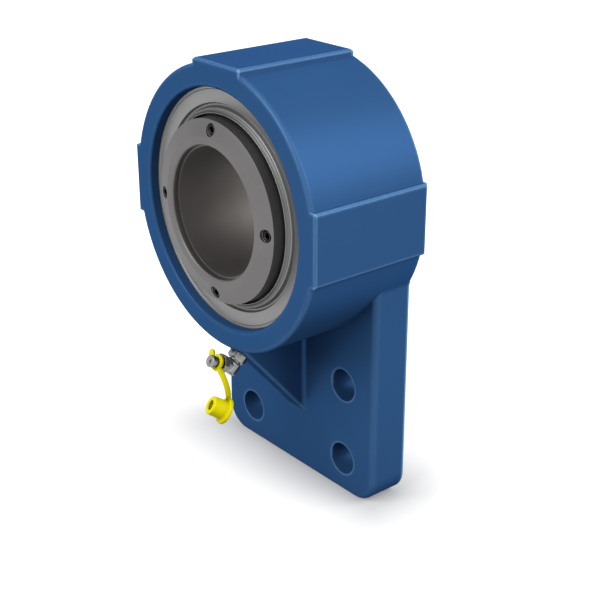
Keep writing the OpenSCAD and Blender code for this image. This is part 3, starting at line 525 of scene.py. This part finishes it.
class Shape:
    """A mesh that is built with mesh operators, in millimetres and in a frame of its own."""

    def __init__(self) -> None:
        """Start with an empty mesh."""
        self.mesh = bmesh.new()

    def close(self) -> "Shape":
        """Fill open ends, turn all faces outwards and return the shape."""
        bmesh.ops.holes_fill(self.mesh, edges=[e for e in self.mesh.edges if e.is_boundary], sides=0)
        bmesh.ops.recalc_face_normals(self.mesh, faces=self.mesh.faces)
        return self

    def spin(self, geom: list, angle: float, steps: int, climb: float = 0.0, merge: bool = False) -> list:
        """Sweep points and edges round the Z axis.

        Args:
            geom: the points and edges.
            angle: the whole angle, in radians.
            steps: the number of segments.
            climb: the rise of each step.
            merge: whether the last segment is joined to the first.

        Returns:
            The points and edges at the end of the sweep.
        """
        return bmesh.ops.spin(self.mesh, geom=geom, cent=(0, 0, 0), axis=(0, 0, 1), dvec=(0, 0, climb), angle=angle,
                              steps=steps, use_merge=merge)["geom_last"]

    def lathe(self, outline: list[tuple[float, float]], closed: bool = False, steps: int = 72) -> "Shape":
        """Turn a half outline round the Z axis.

        Args:
            outline: the radius and the height of each point, from one end on the axis to the other.
            closed: whether the last point joins the first, as on a ring.
            steps: the number of segments round the axis.

        Returns:
            The shape itself.
        """
        points = [self.mesh.verts.new((r, 0.0, z)) for r, z in outline]
        edges = [self.mesh.edges.new(pair) for pair in zip(points, points[1:] + points[:1] * closed)]
        self.spin(points + edges, math.tau, steps, merge=True)
        bmesh.ops.remove_doubles(self.mesh, verts=self.mesh.verts, dist=WELD)
        bmesh.ops.dissolve_degenerate(self.mesh, edges=self.mesh.edges, dist=WELD / 2)
        bmesh.ops.recalc_face_normals(self.mesh, faces=self.mesh.faces)
        return self

    def flats(self, across: float, low: float, high: float) -> "Shape":
        """Press the six flats of a hexagon into what was turned between two heights.

        Args:
            across: the size across the flats.
            low: the lower height.
            high: the upper height.

        Returns:
            The shape itself.
        """
        band = [v for v in self.mesh.verts if low - WELD < v.co.z < high + WELD]
        for side in range(6):
            angle = math.radians(60 * side + 30)
            out = Vector((math.cos(angle), math.sin(angle), 0.0))
            for vert in band:
                vert.co -= max(0.0, vert.co.dot(out) - across / 2) * out
        bmesh.ops.recalc_face_normals(self.mesh, faces=self.mesh.faces)
        return self

    def bar(self, size: tuple[float, float, float], place: tuple[float, float, float], edge: float) -> "Shape":
        """Add a block with rounded edges.

        Args:
            size: its lengths along X, Y and Z.
            place: its middle.
            edge: the radius of its edges.

        Returns:
            The shape itself.
        """
        made = bmesh.ops.create_cube(self.mesh, size=1.0)["verts"]
        bmesh.ops.scale(self.mesh, vec=size, verts=made)
        bmesh.ops.translate(self.mesh, vec=place, verts=made)
        edges = list({e for v in made for e in v.link_edges})
        bmesh.ops.bevel(self.mesh, geom=edges, offset=edge, offset_type="OFFSET", segments=3, profile=0.5,
                        affect="EDGES", material=-1)
        return self

    def arc(self, width: float, height: float, radius: float, angle: float) -> "Shape":
        """Sweep an oval along an arc in the XY plane that starts on the X axis.

        Args:
            width: the oval's size along the arc's radius.
            height: the oval's size along Z.
            radius: the arc's radius.
            angle: the arc's angle, in degrees.

        Returns:
            The shape itself.
        """
        oval = bmesh.ops.create_circle(self.mesh, cap_ends=False, segments=20, radius=0.5)["verts"]
        edges = list({e for v in oval for e in v.link_edges})
        stand = Matrix.Rotation(math.pi / 2, 4, "X") @ Matrix.Diagonal((width, height, 1.0, 1.0))
        bmesh.ops.transform(self.mesh, matrix=Matrix.Translation((radius, 0, 0)) @ stand, verts=oval)
        self.spin(oval + edges, math.radians(angle), 28)
        return self.close()

    def coil(self, wire: float, radius: float, low: float, turns: list[tuple[int, float]]) -> "Shape":
        """Wind a wire round the Z axis.

        Args:
            wire: the wire's diameter.
            radius: the radius of the wire's middle.
            low: the height at which it starts.
            turns: how many turns follow at which climb, one pair after another.

        Returns:
            The shape itself.
        """
        circle = bmesh.ops.create_circle(self.mesh, cap_ends=False, segments=8, radius=wire / 2)["verts"]
        stand = Matrix.Translation((radius, 0, low)) @ Matrix.Rotation(math.pi / 2, 4, "X")
        bmesh.ops.transform(self.mesh, matrix=stand, verts=circle)
        loop = circle + list({e for v in circle for e in v.link_edges})
        for count, climb in turns:
            loop = self.spin(loop, math.tau * count, TURN_STEPS * count, climb / TURN_STEPS)
        return self.close()

    def thread(self, root: float, crest: float, pitch: float, low: float, high: float) -> "Shape":
        """Cut a threaded rod: one turn's profile climbs round the Z axis and is cut off square at both ends.

        Args:
            root: the radius at the bottom of the thread.
            crest: the radius at its top.
            pitch: the climb of one turn.
            low: the height of the lower end.
            high: the height of the upper end.

        Returns:
            The shape itself.
        """
        turns = math.ceil((high - low) / pitch) + 2
        land, middle = 0.12 * pitch, 0.5 * pitch
        profile = [(root, 0.0), (root, land), (crest, middle - land / 2), (crest, middle + land / 2), (root, pitch)]
        points = [self.mesh.verts.new((r, 0.0, low - pitch + z)) for r, z in profile]
        edges = [self.mesh.edges.new(pair) for pair in zip(points, points[1:])]
        self.spin(points + edges, math.tau * turns, turns * TURN_STEPS, pitch / TURN_STEPS)
        bmesh.ops.remove_doubles(self.mesh, verts=self.mesh.verts, dist=WELD)
        for height, out in ((low, -1), (high, 1)):
            whole = [*self.mesh.verts, *self.mesh.edges, *self.mesh.faces]
            bmesh.ops.bisect_plane(self.mesh, geom=whole, dist=0.0001, plane_co=(0, 0, height),
                                   plane_no=(0, 0, out), clear_outer=True)
        return self.close()

    def end_face(self, top: bool) -> bmesh.types.BMFace:
        """The flat face that closes the upper or the lower end."""
        self.mesh.faces.ensure_lookup_table()
        sign = 1 if top else -1
        return max(self.mesh.faces, key=lambda face: sign * face.calc_center_median().z)

    def step(self, face: bmesh.types.BMFace, height: float, radius: Callable[[float], float],
             inset: bool = True) -> bmesh.types.BMFace:
        """Inset or extrude a face, then move its new outline to a height and a radius.

        Args:
            face: the face.
            height: the height of the new outline.
            radius: gives its radius at an angle.
            inset: whether the face is inset. Otherwise it is extruded.

        Returns:
            The face that the new outline bounds.
        """
        if inset:
            bmesh.ops.inset_individual(self.mesh, faces=[face], thickness=0.01, use_even_offset=False)
        else:
            face = bmesh.ops.extrude_discrete_faces(self.mesh, faces=[face])["faces"][0]
        for vert in face.verts:
            angle = math.atan2(vert.co.y, vert.co.x)
            size = radius(angle)
            vert.co = Vector((size * math.cos(angle), size * math.sin(angle), height))
        return face

    def add(self, other: "Shape", place: Matrix) -> "Shape":
        """Take in another shape, moved by a matrix. The other shape is used up.

        Args:
            other: the shape.
            place: where it goes.

        Returns:
            The shape itself.
        """
        bmesh.ops.transform(other.mesh, matrix=place, verts=other.mesh.verts)
        held = bpy.data.meshes.new("held")
        other.mesh.to_mesh(held)
        other.mesh.free()
        self.mesh.from_mesh(held)
        bpy.data.meshes.remove(held)
        return self

    def fuse(self, voxel: float, passes: int) -> "Shape":
        """Melt all that was added into one skin, as a moulding is, and soften it.

        Args:
            voxel: the size of the new faces.
            passes: how often the skin is smoothed.

        Returns:
            The shape itself.
        """
        held = self.piece("held", 1.0)
        melt = held.modifiers.new("melt", "REMESH")
        melt.mode, melt.voxel_size = "VOXEL", voxel
        done = bpy.data.meshes.new_from_object(held.evaluated_get(bpy.context.evaluated_depsgraph_get()))
        self.mesh = bmesh.new()
        self.mesh.from_mesh(done)
        bpy.data.meshes.remove(done)
        bpy.data.meshes.remove(held.data)
        for _ in range(passes):
            bmesh.ops.smooth_vert(self.mesh, verts=self.mesh.verts, factor=0.5, use_axis_x=True, use_axis_y=True,
                                  use_axis_z=True)
        return self

    def piece(self, name: str, scale: float = MM) -> bpy.types.Object:
        """Turn the shape into an object and free it.

        Args:
            name: the object's name.
            scale: the length of one unit in metres.

        Returns:
            The object, linked to the scene.
        """
        bmesh.ops.scale(self.mesh, vec=(scale, scale, scale), verts=self.mesh.verts)
        for face in self.mesh.faces:
            face.smooth = True
        data = bpy.data.meshes.new(name)
        self.mesh.to_mesh(data)
        self.mesh.free()
        data.set_sharp_from_angle(angle=SHARP_FROM)
        made = bpy.data.objects.new(name, data)
        bpy.context.scene.collection.objects.link(made)
        return made


# Sub-assemblies


@dataclass
class SubAssembly:
    """Pieces that go together: solids that get a finish, and pieces that are modelled anew."""

    paint: Paintbox

    def coats(self) -> dict[str, Coat]:
        """The finish of each solid."""
        raise NotImplementedError

    def build(self) -> list[bpy.types.Object]:
        """Model the pieces that take the place of solids, and return them."""
        return []

    def dress(self) -> None:
        """Give every solid its finish."""
        for node, coat in self.coats().items():
            self.paint.dress(frame["nodes"][node], coat)

    def settle(self, piece: bpy.types.Object, node: str, coat: Coat) -> bpy.types.Object:
        """Let a new piece stand for a solid: on its body and finish.

        Args:
            piece: the new piece.
            node: the solid.
            coat: the finish.

        Returns:
            The piece.
        """
        self.paint.dress(piece, coat)
        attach(piece, frame["nodes"][node]["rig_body"])
        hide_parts(node)
        return piece

    def make(self) -> None:
        """Build and dress the sub-assembly, and report it."""
        pieces = self.build()
        self.dress()
        LOG.info("%s: %d solids dressed", type(self).__name__, len(self.coats()))
        for piece in pieces:
            LOG.info("%s: %d faces", piece.name, len(piece.data.polygons))


@dataclass
class HousingUnit(SubAssembly):
    """The casting, and the parts of the bearing and its seals that stay still in it."""

    sides: tuple[str, str] = ("front", "rear")
    disc_at: float = 29.3
    disc_front: tuple[tuple[float, float], ...] = (
        (60.48, 0.6), (60.2, 0.9), (59.4, 0.9), (59.1, 0.82), (58.65, 0.1), (58.35, 0.0), (52.55, 0.0), (52.25, -0.12),
        (52.05, -0.45), (51.8, -1.3), (51.5, -1.58), (51.1, -1.6), (50.75, -1.55), (50.4, -1.15), (50.1, -0.3),
        (49.85, 0.3), (49.6, 0.62), (49.4, 0.7), (49.2, 0.66), (49.0, 0.72), (48.4, 1.15), (47.95, 1.62), (47.8, 1.95),
        (47.68, 2.15), (47.54, 2.2), (47.42, 2.1),
    )
    disc_back: tuple[tuple[float, float], ...] = (
        (47.4, 1.0), (48.95, -0.9), (49.5, -2.5), (52.45, -2.5), (53.0, -1.2), (60.48, -1.2),
    )

    def coats(self) -> dict[str, Coat]:
        """The finish of each solid."""
        coats = {"housing": Coat.BLUE_PAINT, "outer_ring": Coat.BEARING_STEEL}
        for side in self.sides:
            coats[f"{side}_retaining_ring"] = Coat.SPRING_STEEL
            coats[f"{side}_seal_lip"] = Coat.SEAL_RUBBER
        return coats

    def build(self) -> list[bpy.types.Object]:
        """Model the two pressed discs, with the ridge, groove and bead that the press leaves."""
        made = []
        for side, turn in zip(self.sides, (math.pi / 2, -math.pi / 2)):
            disc = Shape().lathe([*self.disc_front, *self.disc_back], closed=True, steps=144)
            place = Matrix.Rotation(turn, 4, "X") @ Matrix.Translation((0.0, 0.0, self.disc_at))
            piece = Shape().add(disc, place).piece(f"{side}_pressed_disc")
            made.append(self.settle(piece, f"{side}_seal_disc", Coat.PRESSED_STEEL))
        return made


@dataclass
class RollerSet(SubAssembly):
    """The inner ring, the guide ring, and two rows of rollers in their cages."""

    rows: tuple[str, str] = ("front", "rear")
    rollers_per_row: int = 17

    def coats(self) -> dict[str, Coat]:
        """The finish of each solid."""
        coats = {"inner_ring": Coat.BEARING_STEEL, "guide_ring": Coat.GUIDE_STEEL}
        for row in self.rows:
            coats[f"{row}_cage"] = Coat.CAGE_STEEL
            coats |= {f"{row}_roller_{i + 1}": Coat.ROLLER_STEEL for i in range(self.rollers_per_row)}
        return coats


@dataclass
class SleeveAndCollar(SubAssembly):
    """The sleeve, the rings on it, and the collar with its four grub screws."""

    screw_d: float = 5.94
    screw_pitch: float = 1.0
    thread_depth: float = 0.55
    screw_len: float = 16.0
    screw_front: float = 38.0
    screw_radius: float = 41.6
    screw_count: int = 4
    point_r: float = 2.0
    point_len: float = 1.0
    lead: float = 0.6
    socket_af: float = 3.0
    socket_depth: float = 3.5
    mouth_r: float = 2.1
    mouth_depth: float = 0.4

    def coats(self) -> dict[str, Coat]:
        """The finish of each solid."""
        coats = {"stepped_sleeve": Coat.SLEEVE_STEEL}
        coats |= {node: Coat.TURNED_STEEL for node in ("mounting_collar", "thrust_ring", "rear_seal_ring")}
        coats |= {node: Coat.SPRING_STEEL for node in ("collar_retaining_ring", "rear_sleeve_ring")}
        return coats

    def hexagon_r(self, angle: float) -> float:
        """The radius of the socket's outline at an angle."""
        off = angle % (2 * HALF_SIDE) - HALF_SIDE
        return self.socket_af / 2 / math.cos(off)

    def screw(self) -> Shape:
        """Make one grub screw: a threaded rod with a point, a chamfered end and a hexagon socket.

        Returns:
            The screw, with its end at height 0 and its point below.
        """
        crest = self.screw_d / 2
        made = Shape().thread(crest - self.thread_depth, crest, self.screw_pitch,
                              self.point_len - self.screw_len, -self.lead)
        made.step(made.end_face(False), -self.screw_len, lambda angle: self.point_r, inset=False)
        face = made.step(made.end_face(True), 0.0, lambda angle: crest - self.lead, inset=False)
        face = made.step(face, 0.0, lambda angle: self.mouth_r)
        face = made.step(face, -self.mouth_depth, self.hexagon_r)
        made.step(face, -self.socket_depth, self.hexagon_r)
        return made

    def build(self) -> list[bpy.types.Object]:
        """Model the four grub screws as one piece."""
        whole = Shape()
        for i in range(self.screw_count):
            turn = Matrix.Rotation(math.tau * i / self.screw_count, 4, "Y")
            spot = Matrix.Translation((0.0, -self.screw_front, self.screw_radius))
            whole.add(self.screw(), turn @ spot @ Matrix.Rotation(math.pi / 2, 4, "X"))
        return [self.settle(whole.piece("socket_screws"), "grub_screws", Coat.BLACK_STEEL)]


@dataclass
class GreaseFitting(SubAssembly):
    """The adapter, elbow and nipple, and the moulded cap that hangs on the nipple's neck."""

    ring_at: float = 9.8
    elbow_angle: float = 67.5
    elbow_h: float = 8.0
    adapter_af: float = 9.6
    adapter_h: float = 4.5
    washer_face: tuple[float, float] = (0.2, 0.15)
    adapter_chamfer: tuple[float, float] = (0.3, 0.75)
    corner_turned: float = 0.1
    shank_len: float = 8.0
    shank_r: float = 3.95
    shank_pitch: float = 1.0
    thread_depth: float = 0.55
    neck_r: float = 3.2
    body_af: float = 8.6
    body_foot: float = 5.52
    body_end: float = 12.2
    foot_chamfer: tuple[float, float] = (0.5, 0.8)
    head_chamfer: tuple[float, float] = (0.4, 1.2)
    crown: tuple[float, float] = (0.8, 0.3)
    arm_r: float = 4.1
    arm_start: float = 0.5
    arm_end: float = 5.2
    arm_edge: float = 0.3
    ring_inner: float = 2.62
    ring_outer: float = 4.4
    ring_half: float = 0.85
    ring_edge: float = 0.35
    tab_angle: float = 154.0
    tab_reach: float = 6.9
    tab_r: float = 2.0
    tab_neck: tuple[float, float] = (4.0, 2.1)
    tab_neck_at: float = -1.8
    tab_neck_edge: float = 0.3
    strap_size: tuple[float, float] = (1.4, 3.3)
    strap_bend: float = 80.0
    strap_leave: tuple[float, float, float] = (2.846, -1.2, -1.779)
    strap_bow: tuple[float, float, float] = (0.95, -0.1, 0.12)
    cup_at: tuple[float, float, float] = (7.4, -10.1, -19.9)
    strap_meet: tuple[float, float, float] = (-1.45, 3.3, 4.1)
    cup_lean: float = 57.8
    cup_turn: float = -21.5
    cup_len: float = 8.8
    cup_r: tuple[float, float] = (5.2, 4.9)
    cup_bore: tuple[float, float] = (2.6, 3.1)
    cup_edge: float = 0.4
    cup_floor: float = 1.5
    mouth_edge: float = 0.3
    mouth_lip: tuple[float, float] = (0.9, 1.6)
    flange_r: float = 7.1
    flange_half: float = 1.05
    voxel: float = 0.22
    softening: int = 2
    wire_d: float = 0.35
    coil_r: float = 0.82
    coil_turns: int = 5
    coil_low: float = 4.03
    coil_high: float = 11.1

    def coats(self) -> dict[str, Coat]:
        """The finish of each solid."""
        return {
            "grease_nipple": Coat.PLATED_STEEL,
            "nipple_ball": Coat.ROLLER_STEEL,
        }

    def nipple_frame(self) -> Matrix:
        """The frame whose origin is the elbow's corner and whose Z axis is the nipple's, in millimetres."""
        swivel = next(joint for joint in frame["joints"] if joint["name"] == "cap_swivel")
        axis = Vector(swivel["axis"]).normalized()
        corner = Vector(swivel["pos_m"]) / MM - self.ring_at * axis
        return Matrix.Translation(corner) @ Matrix.Rotation(math.atan2(-axis.y, axis.z), 4, "X")

    def fitting_frame(self) -> Matrix:
        """The frame whose origin is the adapter's seat and whose Z axis points out of the rib."""
        turn = Matrix.Rotation(math.radians(self.elbow_angle), 4, "X")
        return self.nipple_frame() @ turn @ Matrix.Translation((0.0, 0.0, -self.elbow_h))

    def adapter(self) -> Shape:
        """Make the adapter: a threaded shank, a hexagon chamfered at both ends and a round neck.

        Returns:
            The adapter, with its seat at height 0.
        """
        r, h = self.adapter_af / 2, self.adapter_h
        corner = r / math.cos(HALF_SIDE) - self.corner_turned
        washer, washer_top = self.washer_face
        inset, rise = self.adapter_chamfer
        outline = [(0, -washer), (r - inset, -washer), (r - inset, washer_top), (corner, rise), (corner, h - rise),
                   (r - inset, h), (self.neck_r, h), (self.neck_r, self.body_foot), (0, self.body_foot)]
        made = Shape().lathe(outline).flats(self.adapter_af, washer, h - washer)
        root = self.shank_r - self.thread_depth
        shank = Shape().thread(root, self.shank_r, self.shank_pitch, -self.shank_len, 0.0)
        return made.add(shank, Matrix.Identity(4))

    def elbow(self) -> Shape:
        """Make the elbow: a hexagon body that is chamfered at both ends, and a round arm out of its side.

        Returns:
            The elbow, in the adapter's frame.
        """
        r = self.body_af / 2
        corner = r / math.cos(HALF_SIDE) - self.corner_turned
        low, high = self.body_foot, self.body_end
        foot_in, foot_up = self.foot_chamfer
        head_in, head_down = self.head_chamfer
        crown_in, crown_down = self.crown
        outline = [(0, low), (r - foot_in, low), (corner, low + foot_up), (corner, high - head_down),
                   (r - head_in, high - crown_down), (r - crown_in, high), (0, high)]
        made = Shape().lathe(outline).flats(self.body_af, low + self.washer_face[0], high - head_in)
        start, end, edge = self.arm_start, self.arm_end, self.arm_edge
        arm = Shape().lathe([(0, start), (self.arm_r, start), (self.arm_r, end - edge), (self.arm_r - edge, end),
                             (0, end)])
        back = Matrix.Rotation(math.radians(-self.elbow_angle), 4, "X")
        return made.add(arm, Matrix.Translation((0.0, 0.0, self.elbow_h)) @ back)

    def spring(self) -> Shape:
        """Make the nipple's coil spring, in its frame, with one close turn at each end."""
        wire = self.wire_d
        climb = (self.coil_high - self.coil_low - 3 * wire) / self.coil_turns
        turns = [(1, wire), (self.coil_turns, climb), (1, wire)]
        return Shape().coil(wire, self.coil_r, self.coil_low + wire / 2, turns)

    def compress(self, piece: bpy.types.Object) -> None:
        """Give the spring a mesh of its own."""
        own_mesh(piece)

    def ring(self) -> Shape:
        """Make the cap's ring and pull tab, in the nipple's frame."""
        low, high = self.ring_inner, self.ring_outer
        half, soft = self.ring_half, self.ring_edge
        outline = [(low, -half), (high - soft, -half), (high, soft - half), (high, half - soft), (high - soft, half),
                   (low, half)]
        made = Shape().lathe(outline, closed=True)
        tab = Shape().lathe([(0, -half), (self.tab_r - soft, -half), (self.tab_r, soft - half),
                             (self.tab_r, half - soft), (self.tab_r - soft, half), (0, half)], steps=32)
        neck = Shape().bar((*self.tab_neck, 1.6 * half), (self.tab_neck_at, 0, 0), self.tab_neck_edge)
        tab.add(neck, Matrix.Identity(4))
        turn = Matrix.Rotation(math.radians(self.tab_angle), 4, "Z")
        return made.add(tab, turn @ Matrix.Translation((self.tab_reach, 0, 0)))

    def cup(self) -> Shape:
        """Make the cup: a flange, a tapered wall and a bore with a narrower mouth."""
        r0, r1 = self.cup_r
        mouth, bore = self.cup_bore
        flange, half, end = self.flange_r, self.flange_half, self.cup_len
        edge, lead, floor = self.cup_edge, self.mouth_edge, self.cup_floor
        lip, widened = self.mouth_lip
        return Shape().lathe([
            (0, -half), (flange - edge, -half), (flange, edge - half), (flange, half - edge), (flange - edge, half),
            (r0 + lead, half), (r0, half + edge), (r1, end - edge), (r1 - edge, end), (mouth + lead, end),
            (mouth, end - lead), (mouth, end - lip), (bore, end - widened), (bore, floor), (0, floor),
        ])

    def strap(self, start: Vector, end: Vector) -> Shape:
        """Make the strap, which bends in one arc.

        Args:
            start: where it leaves the ring.
            end: where it meets the cup's flange.

        Returns:
            The strap, in its place.
        """
        chord = end - start
        along = chord.normalized()
        bow = Vector(self.strap_bow)
        bow = (bow - bow.dot(along) * along).normalized()
        half = math.radians(self.strap_bend / 2)
        radius = chord.length / (2 * math.sin(half))
        centre = (start + end) / 2 - bow * radius * math.cos(half)
        x = (start - centre).normalized()
        z = bow.cross(along)
        place = Matrix((x, z.cross(x), z)).transposed().to_4x4()
        place.translation = centre
        made = Shape().arc(*self.strap_size, radius, self.strap_bend)
        return Shape().add(made, place)

    def cap(self) -> Shape:
        """Make the cap in its place: its ring, tab, strap and cup, melted into one moulding."""
        nipple = self.nipple_frame()
        cup_place = nipple.translation + Vector(self.cup_at)
        ring_place = nipple @ Matrix.Translation((0.0, 0.0, self.ring_at))
        turn = Matrix.Rotation(math.radians(self.cup_turn), 4, "Z")
        lean = turn @ Matrix.Rotation(math.radians(self.cup_lean), 4, "X")
        made = Shape().add(self.ring(), ring_place)
        made.add(self.cup(), Matrix.Translation(cup_place) @ lean)
        start = ring_place.translation + Vector(self.strap_leave)
        made.add(self.strap(start, cup_place + Vector(self.strap_meet)), Matrix.Identity(4))
        return made.fuse(self.voxel, self.softening)

    def build(self) -> list[bpy.types.Object]:
        """Model the adapter, the elbow, the spring and the cap."""
        fitting = self.fitting_frame()
        spring = Shape().add(self.spring(), self.nipple_frame()).piece("coil_spring")
        self.settle(spring, "nipple_spring", Coat.SPRING_STEEL)
        self.compress(spring)
        adapter = Shape().add(self.adapter(), fitting).piece("hexagon_adapter")
        elbow = Shape().add(self.elbow(), fitting).piece("hexagon_elbow")
        return [
            spring,
            self.settle(adapter, "grease_adapter", Coat.PLATED_STEEL),
            self.settle(elbow, "grease_elbow", Coat.PLATED_STEEL),
            self.settle(self.cap().piece("moulded_cap"), "grease_cap", Coat.YELLOW_PLASTIC),
        ]


# Studio


@dataclass
class Studio:
    """A white studio: a pale floor, soft lamps and the photograph's camera."""

    floor_z: float = -158 * MM
    floor_half: float = 6.0
    camera_at: tuple[float, float, float] = (469.1 * MM, -368.0 * MM, 202.2 * MM)
    camera_right: tuple[float, float, float] = (0.634, 0.773, -0.002)
    camera_back: tuple[float, float, float] = (0.710, -0.581, 0.398)
    lens_mm: float = 75.06
    sensor_mm: float = 36.0
    foot_half: tuple[float, float] = (62 * MM, 11 * MM)
    foot_at: tuple[float, float] = (0.0, 24 * MM)
    painted_shadow_spread: float = 52 * MM
    floor_grey: float = 0.14
    floor_bright: float = 0.5
    painted_shadow_glow: float = 0.17
    room_light: float = 0.55
    lamps: list[tuple[str, tuple, float, float]] = field(default_factory=lambda: [
        ("key_lamp", (1.25, 0.85, 1.0), 1.3, 24.0),
        ("front_lamp", (0.0, -1.55, 1.15), 1.3, 26.0),
        ("left_lamp", (-1.6, -0.3, 0.9), 1.6, 2.5),
    ])

    def build(self) -> None:
        """Make the floor, the room, the lamps and the camera."""
        self.floor()
        self.room()
        for name, place, size, power in self.lamps:
            self.lamp(name, Vector(place), size, power)
        self.camera()
        bpy.context.scene.view_settings.view_transform = "Standard"
        LOG.info("studio: floor, %d lamps, camera", len(self.lamps))

    def floor(self) -> None:
        """A flat floor under the plate's lower edge. It keeps the object's shadow over an even white, with a painted
        contact shadow round the plate's foot.
        """
        grid = bmesh.new()
        bmesh.ops.create_grid(grid, x_segments=1, y_segments=1, size=self.floor_half)
        bmesh.ops.translate(grid, verts=grid.verts, vec=(0, 0, self.floor_z))
        mesh = bpy.data.meshes.new("floor")
        grid.to_mesh(mesh)
        grid.free()
        floor = bpy.data.objects.new("floor", mesh)
        bpy.context.scene.collection.objects.link(floor)
        mesh.materials.append(self.floor_material())

    def floor_material(self) -> bpy.types.Material:
        """Return a matt white that glows a little for the camera, so that it is white apart from the shadow. The glow
        dims towards the plate's foot as a painted contact shadow.
        """
        made = bpy.data.materials.new("floor_white")
        made.use_nodes = True
        made.node_tree.nodes.clear()
        graph = Graph(made.node_tree)
        seen = self.seen_directly(graph)
        matt_white = graph.mix(seen, (self.floor_grey,) * 3, (self.floor_bright,) * 3)
        matt = graph.add("BsdfDiffuse", {"Color": matt_white})
        place = graph.add("SeparateXYZ", {0: graph.add("TexCoord").outputs["Object"]}).outputs
        # The glow is lowest at the plate's foot and rises with distance from it: a painted contact shadow.
        beyond = []
        for side in (0, 1):
            off = graph.math("ABSOLUTE", graph.math("SUBTRACT", place[side], self.foot_at[side]))
            beyond.append(graph.math("MAXIMUM", graph.math("SUBTRACT", off, self.foot_half[side]), 0.0))
        away = graph.add("CombineXYZ", {0: beyond[0], 1: beyond[1]})
        dist = graph.add("VectorMath", {0: away.outputs[0]}, operation="LENGTH").outputs["Value"]
        shade = graph.math("EXPONENT", graph.math("MULTIPLY", dist, -1 / self.painted_shadow_spread))
        painted_shadow_fade = graph.remap(shade, 1.0, self.painted_shadow_glow)
        glow = graph.add("Emission", {"Color": (1, 1, 1, 1), "Strength": graph.math("MULTIPLY", seen, painted_shadow_fade)})
        both = graph.add("AddShader", {0: matt.outputs[0], 1: glow.outputs[0]})
        graph.add("OutputMaterial", {"Surface": both.outputs[0]})
        return made

    @staticmethod
    def seen_directly(graph: Graph) -> Socket:
        """1 for rays that show the background: straight ones, and those through gloss or glass."""
        path = graph.add("LightPath")
        seen = graph.math("MAXIMUM", path.outputs["Is Camera Ray"], path.outputs["Is Glossy Ray"])
        return graph.math("MAXIMUM", seen, path.outputs["Is Transmission Ray"])

    def room(self) -> None:
        """White for the camera and in reflections, and an even light for everything else."""
        world = bpy.data.worlds.new("room")
        world.use_nodes = True
        world.node_tree.nodes.clear()
        graph = Graph(world.node_tree)
        strength = graph.remap(self.seen_directly(graph), self.room_light, 1.0)
        white = graph.add("Background", {"Color": (1, 1, 1, 1), "Strength": strength})
        graph.add("OutputWorld", {"Surface": white.outputs[0]})
        bpy.context.scene.world = world

    def lamp(self, name: str, place: Vector, size: float, power: float) -> None:
        """Add a soft lamp that faces the unit.

        Args:
            name: the lamp's name.
            place: where it stands, in metres.
            size: the side of its square, in metres.
            power: its power in watts.
        """
        data = bpy.data.lights.new(name, "AREA")
        data.size, data.energy = size, power
        made = bpy.data.objects.new(name, data)
        made.location = place
        made.rotation_euler = (-place).to_track_quat("-Z", "Y").to_euler()
        bpy.context.scene.collection.objects.link(made)

    def camera(self) -> None:
        """Put the camera where the photograph was taken from."""
        back = Vector(self.camera_back).normalized()
        right = Vector(self.camera_right)
        right = (right - right.dot(back) * back).normalized()
        up = back.cross(right)
        data = bpy.data.cameras.new("camera")
        data.lens, data.sensor_width = self.lens_mm, self.sensor_mm
        data.clip_start, data.clip_end = 0.01, 50.0
        made = bpy.data.objects.new("camera", data)
        made.matrix_world = Matrix.Translation(self.camera_at) @ Matrix((right, up, back)).transposed().to_4x4()
        bpy.context.scene.collection.objects.link(made)
        bpy.context.scene.camera = made


def main() -> None:
    """Build the scene around the frame, piece by piece."""
    logging.basicConfig(level=logging.INFO, format="%(name)s: %(message)s")
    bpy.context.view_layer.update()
    paint = Paintbox()
    for kind in (HousingUnit, RollerSet, SleeveAndCollar, GreaseFitting):
        kind(paint).make()
    Studio().build()
    LOG.info("boxes written")


if __name__ == "__main__":
    main()
